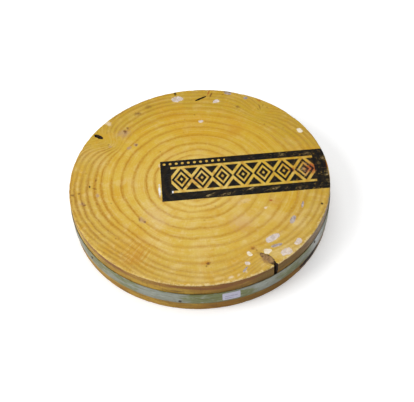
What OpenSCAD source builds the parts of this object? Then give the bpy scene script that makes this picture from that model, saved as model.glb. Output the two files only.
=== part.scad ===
/* [Block] */
// Diameter of the end-grain block
block_d = 400; // [320:5:480]
// Thickness of the block
block_h = 60; // [52:1:100]
// Chamfer along the top and bottom edges
arris = 1.5; // [0.5:0.1:3]

/* [Steel hoop] */
// Width of the strip, measured up the side of the block
hoop_w = 22; // [18:1:26]
// Thickness of the strip
hoop_t = 1; // [0.6:0.1:1.6]
// Height of the strip's lower edge above the underside
hoop_low = 17.5; // [12:0.5:20]
// Gap between the strip and the wood
hoop_fit = 0.05; // [0.02:0.01:0.2]

/* [Hoop lap] */
// Angle around the rim where the outer end starts to cover the inner end
lap_at = 62; // [56:1:66]
// Length of the overlap
lap_len = 40; // [34:1:50]
// Length of the bend that lifts the outer end
joggle_len = 8; // [6:1:14]
// Gap between the two layers
lap_gap = 0.1; // [0.05:0.05:0.3]
// Distance between the two rivets
rivet_pitch = 20; // [14:1:22]
// Diameter of a rivet's shank
rivet_d = 3; // [2.5:0.1:4]
// Diameter of a rivet's domed head
rivet_head_d = 6; // [5:0.5:8]
// Height of a rivet's domed head
rivet_head_h = 1.2; // [0.8:0.1:2]
// Diameter of a rivet's flattened tail
rivet_tail_d = 5; // [4.5:0.5:7]
// Thickness of a rivet's flattened tail
rivet_tail_t = 0.6; // [0.4:0.1:1]

/* [Hoop nails] */
// Diameter of a nail's shank
nail_d = 2; // [1.6:0.1:2.8]
// Length of a nail under its head
nail_l = 20; // [14:1:30]
// Length of a nail's point
nail_point = 4; // [2:0.5:6]
// Diameter of a nail's head
nail_head_d = 4.5; // [3.5:0.5:6]
// Thickness of a nail's head
nail_head_t = 0.8; // [0.5:0.1:1.2]
// Bevel around a nail's head
nail_bevel = 0.3; // [0.1:0.1:0.4]
// Distance from the strip's edge to the nails of the upper and lower rows
nail_edge = 4; // [3:0.5:6]

/* [Price label] */
// Length of the label around the hoop
label_l = 26; // [20:1:38]
// Height of the label
label_h = 16; // [10:1:17]
// Thickness of the label's paper
label_t = 0.15; // [0.1:0.05:0.3]
// Thickness of the glue under the label
label_glue = 0.05; // [0.02:0.01:0.1]
// Angle around the rim of the label's middle
label_at = 280; // [272:1:290]

/* [Rim split and bark pocket] */
// Angle around the rim of the open split
split_at = 300; // [296:1:304]
// Width of the split at the rim
split_w = 8; // [3:0.5:9]
// How far the split reaches in from the rim
split_reach = 8; // [6:0.5:12]
// Length of the pocket of ingrown bark
bark_l = 29; // [24:1:34]
// Width of the pocket of ingrown bark
bark_w = 10; // [6:0.5:11]
// Depth of the pocket of ingrown bark
bark_deep = 24; // [12:1:36]
// How far the bark lies below the top face
bark_sunk = 1.2; // [0.5:0.1:3]
// Distance from the rim to the middle of the bark pocket
bark_inset = 16; // [15:0.5:18]
// Sideways offset of the bark pocket from the split
bark_side = -3; // [-4:0.5:-2]
// Angle between the bark pocket and the split
bark_turn = 14; // [8:1:18]
// Gap between the bark and the wood around it
bark_fit = 0.1; // [0.05:0.05:0.3]

/* [Filler patches] */
// Depth of the pockets that hold the filler
filler_deep = 4; // [2:0.5:8]
// Gap between a patch and the wall of its pocket
filler_fit = 0.05; // [0.02:0.01:0.1]

/* [Hidden] */
// Clearance around the nails and rivets in their holes
shank_fit = 0.05;
// Length by which a cut runs past the face that it opens
over = 1;
block_r = block_d / 2;
hoop_r = block_r + hoop_fit;
hoop_face = hoop_r + hoop_t;
lap_r = hoop_face + lap_gap;
lap_face = lap_r + hoop_t;
hoop_mid = hoop_low + hoop_w / 2;
// Distance between the hoop's inner end and the bend
end_gap = 2;
// How far the bend's ends run into the strip on either side
tuck = 2.5;
// Extra thickness of the hammered bend
bend_swell = 0.2;

// Nails: angle around the rim, and row of the strip (-1 lower, 0 middle, 1 upper)
NAILS = [
    [6, 0], [48, -1], [90, 1], [131, 0],
    [173, -1], [215, 0], [259, -1], [324, 1]
];

// Open slits: angle, inset from the rim, turn, length, width, depth
SLITS = [
    [147, 12, -182, 17, 7, 12],
    [86.5, 22.5, -60, 22, 4, 8]
];

// Filler patches: angle, inset from the rim, side step, turn, length, width
FILLERS = [
    [99, 18.5, 0, -94, 18, 12],
    [78, 27.5, 0, -58, 11, 7],
    [73, 6, 0, -93, 12, 5],
    [63.5, 8, 0, -60, 7, 6],
    [86, 76.5, 0, -76, 8, 6],
    [28, 12.5, 0, 87, 11, 8],
    [325, 37.5, 0, 100, 15, 7],
    [336.5, 35.5, 0, 98, 12, 3],
    [split_at, 42.2, 23.9, 90, 24, 11],
    [split_at, 28, 21.6, 75, 17, 5],
    [split_at, 26.8, 4.6, 60, 11, 8.5],
    [split_at, 11.5, 25.5, 80, 17, 12],
    [split_at, 37.5, -19.5, 10, 10, 6],
    [split_at, 25.5, -31, 60, 7, 6],
    [split_at, 18.5, -40, 115, 12, 3],
    [split_at, 15.7, 50.4, 105, 14, 8]
];

FILLER_NODES = [for (i = [1 : len(FILLERS)]) str("filler_", i)];
$fn = 96;

// Angle that an arc of this length takes up at the side of the block
function arc_angle(length) = length / block_r * 180 / PI;

// Point at an angle around the block's axis
function polar(r, a) = [r * cos(a), r * sin(a)];

// Distance from the axis at which a flat disc just touches a round wall from inside
function seat_inside(r, disc_d) = sqrt(r * r - disc_d * disc_d / 4);

// Height of a nail of the lower (-1), middle (0) or upper (1) row
function nail_z(row) = hoop_mid + row * (hoop_w / 2 - nail_edge);

// Angles of the two rivets
function rivet_angle(side) = lap_at + arc_angle(lap_len / 2 + side * rivet_pitch / 2);

// Places a flat outline on the top face, measured in from the rim at an angle
module at_rim(angle, inset, side, turn) {
    rotate(angle) translate([block_r - inset, side]) rotate(turn) children();
}

// Places a shape made along +Z so that it points out of the block's side
module out_of_side(angle, r, z) {
    rotate(angle) translate([r, 0, z]) rotate([0, 90, 0]) children();
}

// Pointed oval between two equal arcs
module lens(l, w) {
    r = (l * l + w * w) / (4 * w);
    intersection_for (side = [-1, 1]) translate([0, side * (r - w / 2)]) circle(r);
}

// Straight-sided outline with round ends
module oblong(l, w) {
    square([l - w, w], center = true);
    for (side = [-1, 1]) translate([side * (l - w) / 2, 0]) circle(d = w);
}

// Outline of a filler patch, drawn in by a gap
module filler_outline(patch, gap) {
    at_rim(patch[0], patch[1], patch[2], patch[3])
        oblong(patch[4] - 2 * gap, patch[5] - 2 * gap);
}

// Outline of the bark pocket, drawn in by a gap
module bark_outline(gap) {
    at_rim(split_at, bark_inset, bark_side, bark_turn)
        lens(bark_l - 2 * gap, bark_w - 2 * gap);
}

// Wedge of the open split, from behind the hoop up through the top face
module split_cut() {
    rotate(split_at) translate([0, 0, hoop_mid])
        linear_extrude(block_h - hoop_mid + over)
            polygon([
                [block_r - split_reach, 0],
                [block_r + over, -split_w / 2],
                [block_r + over, split_w / 2]
            ]);
}

// Cut down into the top face from a flat outline
module top_pocket(deep) {
    translate([0, 0, block_h - deep]) linear_extrude(deep + over) children();
}

// Round slice of the trunk with its chamfered edges
module block_blank() {
    rotate_extrude($fn = 180)
        polygon([
            [0, 0], [block_r - arris, 0], [block_r, arris],
            [block_r, block_h - arris], [block_r - arris, block_h], [0, block_h]
        ]);
}

module wood_block() {
    color("goldenrod")
        difference() {
            block_blank();
            split_cut();
            top_pocket(bark_deep) bark_outline(0);
            for (s = SLITS) top_pocket(s[5]) at_rim(s[0], s[1], 0, s[2]) lens(s[3], s[4]);
            for (patch = FILLERS) top_pocket(filler_deep) filler_outline(patch, 0);
            for (n = NAILS) out_of_side(n[0], hoop_face - nail_l, nail_z(n[1]))
                cylinder(d = nail_d + 2 * shank_fit, h = nail_l + over);
            for (side = [-1, 1])
                out_of_side(rivet_angle(side), tail_face() - rivet_tail_t - shank_fit, hoop_mid)
                    cylinder(d = rivet_tail_d + 2 * shank_fit, h = rivet_tail_t + over);
        }
}

// Distance of the rivet tails' outer faces from the block's axis
function tail_face() = seat_inside(hoop_r, rivet_tail_d);

// Part of a ring, from one angle through a turn, over-high for trimming
module strip_arc(r_in, r_out, from, turn) {
    rotate(from) rotate_extrude(angle = turn, $fn = 180)
        translate([r_in, hoop_low - over]) square([r_out - r_in, hoop_w + 2 * over]);
}

// Straight bend between the two layers of the hoop, with its ends tucked into both
module joggle() {
    rise = (lap_r - hoop_r) / joggle_len;
    near = lap_at - arc_angle(joggle_len + tuck);
    far = lap_at + arc_angle(tuck);
    low = hoop_r - rise * tuck;
    high = lap_r + rise * tuck;
    bend_t = hoop_t + bend_swell;
    translate([0, 0, hoop_low - 2 * over]) linear_extrude(hoop_w + 4 * over)
        polygon([
            polar(low, near), polar(low + bend_t, near),
            polar(high + bend_t, far), polar(high, far)
        ]);
}

// Strip wound once round the block, its outer end lapped over its inner end
module hoop_blank() {
    start = lap_at + arc_angle(end_gap);
    around = 360 - arc_angle(joggle_len) - arc_angle(end_gap);
    difference() {
        intersection() {
            union() {
                strip_arc(hoop_r - over, hoop_face, start, around);
                strip_arc(lap_r, lap_face + over, lap_at, arc_angle(lap_len));
                joggle();
            }
            translate([0, 0, hoop_low]) cylinder(r = lap_face, h = hoop_w, $fn = 180);
        }
        translate([0, 0, hoop_low - over])
            cylinder(r = hoop_r, h = hoop_w + 2 * over, $fn = 180);
    }
}

module steel_hoop() {
    color("darkseagreen")
        difference() {
            hoop_blank();
            for (n = NAILS) out_of_side(n[0], block_r - over, nail_z(n[1]))
                cylinder(d = nail_d + 2 * shank_fit, h = hoop_t + 2 * over);
            for (side = [-1, 1]) out_of_side(rivet_angle(side), block_r - over, hoop_mid)
                cylinder(d = rivet_d + 2 * shank_fit, h = lap_face - block_r + 2 * over);
        }
}

// One rivet along +Z: flat tail, shank, and domed head on the outer layer
module rivet() {
    dome_r = (rivet_head_d * rivet_head_d / 4 + rivet_head_h * rivet_head_h) / (2 * rivet_head_h);
    translate([0, 0, -rivet_tail_t]) cylinder(d = rivet_tail_d, h = rivet_tail_t);
    cylinder(d = rivet_d, h = lap_face - tail_face());
    translate([0, 0, lap_face - tail_face()])
        intersection() {
            cylinder(d = rivet_head_d, h = rivet_head_h);
            translate([0, 0, rivet_head_h - dome_r]) sphere(dome_r);
        }
}

module lap_rivets() {
    color("silver")
        for (side = [-1, 1]) out_of_side(rivet_angle(side), tail_face(), hoop_mid) rivet();
}

// One nail along +Z, with the underside of its head at the origin
module nail() {
    head_r = nail_head_d / 2;
    shank_r = nail_d / 2;
    rotate_extrude()
        polygon([
            [0, -nail_l], [shank_r, nail_point - nail_l], [shank_r, 0], [head_r, 0],
            [head_r, nail_head_t - nail_bevel], [head_r - nail_bevel, nail_head_t],
            [0, nail_head_t]
        ]);
}

module hoop_nails() {
    color("dimgray")
        for (n = NAILS) out_of_side(n[0], hoop_face, nail_z(n[1])) nail();
}

// Ingrown bark, from the inner end of the split
module bark_pocket() {
    color("saddlebrown")
        translate([0, 0, block_h - bark_deep]) linear_extrude(bark_deep - bark_sunk)
            difference() {
                bark_outline(bark_fit);
                at_rim(split_at, 0, 0, 0)
                    translate([-split_reach, -bark_w]) square([split_reach, 2 * bark_w]);
            }
}

module price_label() {
    turn = arc_angle(label_l);
    color("lavender")
        rotate(label_at - turn / 2) rotate_extrude(angle = turn, $fn = 180)
            translate([hoop_face + label_glue, hoop_mid - label_h / 2]) square([label_t, label_h]);
}

// Hardened putty in its pocket, flush with the top face
module filler(patch) {
    color("antiquewhite")
        translate([0, 0, block_h - filler_deep]) linear_extrude(filler_deep)
            filler_outline(patch, filler_fit);
}

wood_block();
steel_hoop();
lap_rivets();
hoop_nails();
bark_pocket();
price_label();
for (i = [0 : len(FILLERS) - 1])
    filler(FILLERS[i]);
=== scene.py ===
import math

import bmesh
import bpy
import numpy as np
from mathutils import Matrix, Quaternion, Vector, noise


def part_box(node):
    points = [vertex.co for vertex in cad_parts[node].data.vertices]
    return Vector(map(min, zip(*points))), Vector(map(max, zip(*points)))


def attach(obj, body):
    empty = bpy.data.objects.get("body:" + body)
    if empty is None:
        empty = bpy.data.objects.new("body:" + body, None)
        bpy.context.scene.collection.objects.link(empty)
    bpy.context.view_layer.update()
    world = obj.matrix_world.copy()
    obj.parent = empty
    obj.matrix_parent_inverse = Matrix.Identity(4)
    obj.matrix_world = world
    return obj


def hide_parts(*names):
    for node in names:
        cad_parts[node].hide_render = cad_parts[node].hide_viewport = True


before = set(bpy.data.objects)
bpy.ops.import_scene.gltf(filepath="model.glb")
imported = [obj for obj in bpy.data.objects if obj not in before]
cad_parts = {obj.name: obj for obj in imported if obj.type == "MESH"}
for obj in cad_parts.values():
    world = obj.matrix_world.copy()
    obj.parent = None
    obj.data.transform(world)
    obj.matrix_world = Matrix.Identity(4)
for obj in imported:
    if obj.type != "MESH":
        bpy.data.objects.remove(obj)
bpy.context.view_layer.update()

# Camera
# The block is seen from the side of its price label, from about 1.3 m away and fifty
# degrees up, with the camera tipped slightly clockwise.
CAMERA_AWAY = 1.3283
CAMERA_RISE = math.radians(49.89)
CAMERA_AIM = Vector((0.0097, -0.0221, 0.030))
CAMERA_TIP = math.radians(-3.16)
CAMERA_LENS = 72.66

camera_data = bpy.data.cameras.new("camera")
camera_data.lens = CAMERA_LENS
camera = bpy.data.objects.new("camera", camera_data)
camera.location = (0, -CAMERA_AWAY * math.cos(CAMERA_RISE), CAMERA_AWAY * math.sin(CAMERA_RISE))
aim = (CAMERA_AIM - camera.location).to_track_quat("-Z", "Y")
camera.rotation_euler = (aim @ Quaternion((0, 0, 1), CAMERA_TIP)).to_euler()
bpy.context.collection.objects.link(camera)
bpy.context.scene.camera = camera

# Wood block: how the trunk grew
# One slice of a willow trunk, sawn across the grain. Its rings follow the outline that the
# growing trunk had: wider on the right, flat at the lower left, folded in at four flutes.
MM = 0.001
PITH = (-4.4, -3.9)
RING_RADII = [
    0, 9, 19, 30, 41, 52, 64, 78, 97.5, 115.5, 131, 147, 156.5,
    168.5, 177.5, 187, 194, 201, 208, 216, 225, 235, 246, 258
]

# Swells: angle, half width, radius where it starts, radius where it is full, push outwards
SWELLS = [
    (352, 45, 90, 195, 15), (222, 22, 80, 135, -10), (222, 22, 148, 170, 3),
    (276, 15, 148, 175, 7), (270, 12, 50, 74, -3), (270, 12, 132, 146, 3),
    (72, 22, 112, 128, -4), (72, 22, 142, 160, 5), (112, 22, 138, 160, 6),
]
# Flutes: the same values, for narrow folds that the rings bend into
FLUTES = [
    (53, 6, 145, 185, 21), (147, 4, 128, 168, 34), (232, 8, 135, 180, 8),
    (299, 5, 140, 162, 6), (299, 9, 160, 195, 18),
]


def eased(x):
    x = np.clip(x, 0, 1)
    return x * x * (3 - 2 * x)


def bent_radius(x, y):
    """The radius, in mm, that a point's ring has where the trunk is undisturbed."""
    across = x - PITH[0]
    up = y - PITH[1]
    r = np.hypot(across, up)
    angle = np.degrees(np.arctan2(up, across))
    push = np.zeros_like(r)
    for at, width, start, full, amount in SWELLS:
        off = (angle - at + 180) % 360 - 180
        push += amount * eased((r - start) / (full - start)) * np.exp(-((off / width) ** 2))
    for at, width, start, full, amount in FLUTES:
        off = (angle - at + 180) % 360 - 180
        push -= amount * eased((r - start) / (full - start)) / np.cosh(off / width)
    return r - push


def growth(x, y):
    """Ring count, ring spacing in mm and bent radius in mm at a point given in mm."""
    radius = bent_radius(x, y)
    rings = np.array(RING_RADII, float)
    age = np.interp(radius, rings, np.arange(len(rings)))
    spacing = np.interp(radius, (rings[1:] + rings[:-1]) / 2, np.diff(rings))
    return np.stack([age, spacing, radius], axis=1)


# Wood block: its turned shape and the flaws in it
# The slice is turned round and its edges are eased by hand. Two slits stay open in the top,
# a split runs in from the rim, and the other flaws are cut out for filler.


def heights(node):
    """The lowest and highest level of a part in the frame, in mm."""
    return [corner[2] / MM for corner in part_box(node)]


BLOCK_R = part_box("wood_block")[1][1] / MM
BLOCK_H = heights("wood_block")[1]
HOOP_LOW, HOOP_HIGH = heights("steel_hoop")
HOOP_MID = (HOOP_LOW + HOOP_HIGH) / 2
BARK_LOW, BARK_HIGH = heights("bark_pocket")
FILLER_LOW = heights("filler_1")[0]
STEPS_AROUND = 480
TOP_STEP = 3
SIDE_STEP = 2.5
UNDER_STEP = 6
EDGE_R = 1.6
EDGE_STEPS = 4
# Wear of both edges: how far in and down it reaches, and the spread and depth of its nicks
WORN_IN = 3
WORN_DOWN = 4
NICK_SPREAD = 9
NICK_DEPTH = 1.5
UNEVEN = 0.1
# How far the cutters rise above the top face
ABOVE = 1.5

# Slits: angle, inset from the rim, turn, length, width, depth
SLITS = [(147, 12, -182, 17, 7, 12), (86.5, 22.5, -60, 22, 4, 8)]
SPLIT_AT = 300
SPLIT_W = 8
SPLIT_REACH = 8
SPLIT_STEPS = 8
SPLIT_TIP = 0.12
# Bark pocket: inset, side step, turn, length, width
BARK = (16, -3, 14, 29, 10)
# Filler patches: angle, inset, side step, turn, length, width
FILLERS = [
    (99, 18.5, 0, -94, 18, 12), (78, 27.5, 0, -58, 11, 7), (73, 6, 0, -93, 12, 5),
    (63.5, 8, 0, -60, 7, 6), (86, 76.5, 0, -76, 8, 6), (28, 12.5, 0, 87, 11, 8),
    (325, 37.5, 0, 100, 15, 7), (336.5, 35.5, 0, 98, 12, 3),
    (SPLIT_AT, 42.2, 23.9, 90, 24, 11), (SPLIT_AT, 28, 21.6, 75, 17, 5),
    (SPLIT_AT, 26.8, 4.6, 60, 11, 8.5), (SPLIT_AT, 11.5, 25.5, 80, 17, 12),
    (SPLIT_AT, 37.5, -19.5, 10, 10, 6), (SPLIT_AT, 25.5, -31, 60, 7, 6),
    (SPLIT_AT, 18.5, -40, 115, 12, 3), (SPLIT_AT, 15.7, 50.4, 105, 14, 8),
]


def ragged(points, amount, grain, seed):
    """Moves an outline's points in and out along their own direction from its middle."""
    points = np.array(points, float)
    middle = points.mean(axis=0)
    out = []
    for x, y in points:
        way = Vector((x - middle[0], y - middle[1]))
        way.normalize()
        shift = amount * noise.fractal(Vector((x / grain, y / grain, seed)), 1.0, 2.0, 3)
        out.append((x + way.x * shift, y + way.y * shift))
    return np.array(out)


def at_rim(points, angle, inset, side, turn):
    """Places an outline on the top face, measured in from the rim at an angle."""
    points = np.array(points, float)
    turn = math.radians(turn)
    angle = math.radians(angle)
    x = points[:, 0] * math.cos(turn) - points[:, 1] * math.sin(turn) + BLOCK_R - inset
    y = points[:, 0] * math.sin(turn) + points[:, 1] * math.cos(turn) + side
    return np.stack(
        [x * math.cos(angle) - y * math.sin(angle), x * math.sin(angle) + y * math.cos(angle)],
        axis=1,
    )


def oval(length, width, steps, first, square_x, square_y):
    """Points round an oval. Powers below 1 fill it out, and a power of 1 keeps its points."""
    points = []
    for i in range(steps):
        a = 2 * math.pi * (i + first) / steps
        x = math.copysign(abs(math.cos(a)) ** square_x, math.cos(a))
        y = math.copysign(abs(math.sin(a)) ** square_y, math.sin(a))
        points.append((length / 2 * x, width / 2 * y))
    return points


def lens(length, width, steps=30):
    return oval(length, width, steps, 0, 1, 0.9)


def stacked(rings):
    """A closed solid through rings of points in mm. A ring of one point makes a tip, and a
    wider ring at an end is closed with one flat face."""
    verts = []
    rows = []
    for ring in rings:
        rows.append(range(len(verts), len(verts) + len(ring)))
        verts += [(x * MM, y * MM, z * MM) for x, y, z in ring]
    faces = [tuple(row) for row in (rows[0], rows[-1]) if len(row) > 1]
    for low, high in zip(rows, rows[1:]):
        count = max(len(low), len(high))
        for i in range(count):
            j = (i + 1) % count
            quad = (low[i % len(low)], low[j % len(low)], high[j % len(high)], high[i % len(high)])
            faces.append(tuple(dict.fromkeys(quad)))
    return verts, faces


def loft(sections):
    """A solid through flat outlines of equally many points, each at its own height."""
    return stacked([[(x, y, z) for x, y in outline] for outline, z in sections])


def joined_mesh(name, parts):
    """One mesh from several (vertices, faces) pairs, with its faces turned outwards."""
    verts = []
    faces = []
    for part_verts, part_faces in parts:
        start = len(verts)
        verts += part_verts
        faces += [tuple(start + i for i in face) for face in part_faces]
    mesh = bpy.data.meshes.new(name)
    mesh.from_pydata(verts, [], faces)
    shell = bmesh.new()
    shell.from_mesh(mesh)
    bmesh.ops.recalc_face_normals(shell, faces=shell.faces)
    shell.to_mesh(mesh)
    shell.free()
    return mesh


def linked(name, mesh):
    piece = bpy.data.objects.new(name, mesh)
    bpy.context.collection.objects.link(piece)
    return piece


def smoothed(piece, sharp):
    """Shades a piece smooth, apart from edges that bend by more than an angle."""
    piece.data.shade_smooth()
    piece.data.set_sharp_from_angle(angle=math.radians(sharp))


def applied(piece):
    """Replaces a piece's modifiers with the mesh that they make."""
    bpy.context.view_layer.update()
    shape = piece.evaluated_get(bpy.context.evaluated_depsgraph_get())
    mesh = bpy.data.meshes.new_from_object(shape)
    piece.modifiers.clear()
    piece.data = mesh
    return piece


def filler_outline(number):
    angle, inset, side, turn, length, width = FILLERS[number]
    points = at_rim(oval(length, width, 44, 0.5, 0.85, 0.85), angle, inset, side, turn)
    return ragged(points, 0.18 * width, 4.5, number * 7.3)


def bark_outline(gap=0.0):
    inset, side, turn, length, width = BARK
    points = at_rim(lens(length - 2 * gap, width - 2 * gap, 60), SPLIT_AT, inset, side, turn)
    return ragged(points, 2.2, 4.0, 17.7)


def split_outline(level):
    """The split seen from above at a level: 1 at the top face, 0 behind the hoop."""
    width = SPLIT_W * (0.85 + 0.25 * level)
    reach = SPLIT_REACH * (0.6 + 0.4 * level)
    outline = []
    for side in (-1, 1):
        for t in np.linspace(0, 1, SPLIT_STEPS)[::-side]:
            wander = 0.45 * noise.noise(Vector((t * 3, level * 6, side * 2.0)))
            lean = 0.9 * noise.noise(Vector((t * 1.2, level * 2.5, 9.0)))
            half = side * (width / 2 * (1 - t) + SPLIT_TIP) + wander * (1 - t) + lean
            outline.append((ABOVE - t * (reach + ABOVE), half))
    return at_rim(outline, SPLIT_AT, 0, 0, 0)


def block_profile():
    """Radius and height down from the middle of the top, round the side, to the underside."""
    core = BLOCK_R - EDGE_R
    arc = [math.pi / 2 * i / EDGE_STEPS for i in range(EDGE_STEPS + 1)]
    upper = [
        (core + EDGE_R * math.sin(a), BLOCK_H - EDGE_R + EDGE_R * math.cos(a)) for a in arc
    ]
    rows = round((BLOCK_H - 2 * EDGE_R) / SIDE_STEP)
    side = np.linspace(BLOCK_H - EDGE_R, EDGE_R, rows)[1:-1]
    return (
        [(r, BLOCK_H) for r in np.arange(TOP_STEP, core - 0.5, TOP_STEP)] + upper
        + [(BLOCK_R, z) for z in side] + [(r, BLOCK_H - z) for r, z in reversed(upper)]
        + [(r, 0) for r in np.arange(core - 3, 0, -UNDER_STEP)]
    )


def worn(r, z, angle):
    """Wears the turned shape: nicks along both edges, and a slightly uneven side."""
    near_side = max(0, 1 - (BLOCK_R - r) / WORN_IN)
    near_edge = near_side * max(0, 1 - min(z, BLOCK_H - z) / WORN_DOWN)
    if near_side > 0:
        way = Vector((math.cos(angle), math.sin(angle), 0))
        spot = way * BLOCK_R / NICK_SPREAD + Vector((0, 0, z / 14))
        nick = max(0, noise.fractal(spot, 1.0, 2.0, 3) - 0.12)
        r -= near_edge * (0.15 + NICK_DEPTH * nick)
        r -= UNEVEN * (1 + noise.noise(way * BLOCK_R / 22 + Vector((0, 0, z / 9))))
    return r


def around(r, angle, z):
    return (r * math.cos(angle), r * math.sin(angle), z)


def turned_block():
    turns = [2 * math.pi * i / STEPS_AROUND for i in range(STEPS_AROUND)]
    rings = [[around(worn(r, z, a), a, z) for a in turns] for r, z in block_profile()]
    return stacked([[(0, 0, BLOCK_H)]] + rings + [[(0, 0, 0)]])


block = linked("block", joined_mesh("block", [turned_block()]))
top_cuts = []
for number in range(len(FILLERS)):
    outline = filler_outline(number)
    top_cuts.append(loft([(outline, BLOCK_H + ABOVE), (outline, FILLER_LOW)]))
top_cuts.append(loft([(bark_outline(), BLOCK_H + ABOVE), (bark_outline(), BARK_LOW)]))
for number, (angle, inset, turn, length, width, depth) in enumerate(SLITS):
    mouth = ragged(at_rim(lens(length, width), angle, inset, 0, turn), 0.8, 3.0, 42.0 + number)
    inner = at_rim(lens(length * 0.7, width * 0.45), angle, inset, 0, turn)
    root = at_rim(lens(length * 0.4, width * 0.15), angle, inset, 0, turn)
    top_cuts.append(loft([
        (mouth, BLOCK_H + ABOVE), (mouth, BLOCK_H - 0.3),
        (inner, BLOCK_H - depth * 0.5), (root, BLOCK_H - depth),
    ]))
levels = np.linspace(1, 0, 9)
split_cut = loft(
    [(split_outline(1), BLOCK_H + ABOVE)]
    + [(split_outline(t), HOOP_MID + t * (BLOCK_H - HOOP_MID)) for t in levels]
)
for name, parts in (("top_cuts", top_cuts), ("split_cut", [split_cut])):
    cutter = linked(name, joined_mesh(name, parts))
    cut = block.modifiers.new(name, "BOOLEAN")
    cut.operation = "DIFFERENCE"
    cut.solver = "EXACT"
    cut.object = cutter
cut_mesh = applied(block).data
for name in ("top_cuts", "split_cut"):
    bpy.data.objects.remove(bpy.data.objects[name])
corners = np.empty(len(cut_mesh.vertices) * 3)
cut_mesh.vertices.foreach_get("co", corners)
grown = cut_mesh.attributes.new("growth", "FLOAT_VECTOR", "POINT")
grown.data.foreach_set("vector", growth(corners[::3] / MM, corners[1::3] / MM).ravel())
smoothed(block, 38)

# Wood block: the finish of its faces
# The top is planed, clear-coated and printed with a worn black frame. The side is left
# turned and stained, the underside is sawn, and the walls of the open cracks are painted
# dark as shade.


def paint(red, green, blue):
    """A colour as it looks, 0 to 255, as the light-linear values that shaders take."""
    def linear(value):
        value /= 255
        return value / 12.92 if value <= 0.04045 else ((value + 0.055) / 1.055) ** 2.4
    return (linear(red), linear(green), linear(blue), 1)


def arithmetic(operation, backwards=False):
    """A method that adds a math node, with the value as its first or last input."""
    def method(self, *others):
        values = (*others, self) if backwards else (self, *others)
        return self.nodes.math(operation, *values)
    return method


class Value:
    """A number that differs from point to point. Arithmetic on it adds nodes to its tree."""

    def __init__(self, nodes, socket):
        self.nodes = nodes
        self.socket = socket

    __add__ = arithmetic("ADD")
    __sub__ = arithmetic("SUBTRACT")
    __rsub__ = arithmetic("SUBTRACT", backwards=True)
    __mul__ = arithmetic("MULTIPLY")
    __truediv__ = arithmetic("DIVIDE")
    __abs__ = arithmetic("ABSOLUTE")

    def span(self, low, high, end=1.0, start=0.0):
        """Eases from start to end while the value goes from low to high, and holds there."""
        node = self.nodes.add("ShaderNodeMapRange", {"interpolation_type": "SMOOTHSTEP"})
        return self.nodes.fed(node, (self, low, high, start, end))


class Nodes:
    """A node tree, built node by node."""

    def __init__(self, tree):
        self.tree = tree

    def add(self, kind, settings=None, **inputs):
        node = self.tree.nodes.new(kind)
        for key, value in (settings or {}).items():
            setattr(node, key, value)
        for key, value in inputs.items():
            self.feed(node.inputs[key.replace("_", " ")], value)
        return node

    def feed(self, socket, value):
        if isinstance(value, Value):
            value = value.socket
        elif isinstance(value, bpy.types.Node):
            value = value.outputs[0]
        if isinstance(value, bpy.types.NodeSocket):
            self.tree.links.new(value, socket)
        else:
            socket.default_value = value

    def fed(self, node, values, output=0):
        """Feeds a node's first inputs in order, and gives one of its outputs."""
        for socket, value in zip(node.inputs, values):
            self.feed(socket, value)
        return Value(self, node.outputs[output])

    def math(self, operation, *values, clamp=False):
        node = self.add("ShaderNodeMath", {"operation": operation, "use_clamp": clamp})
        return self.fed(node, values)

    def most(self, first, *others):
        for other in others:
            first = self.math("MAXIMUM", first, other)
        return first

    def vector(self, operation, *values):
        node = self.add("ShaderNodeVectorMath", {"operation": operation})
        number = operation in ("LENGTH", "DOT_PRODUCT")
        return self.fed(node, values, "Value" if number else "Vector")


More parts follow.
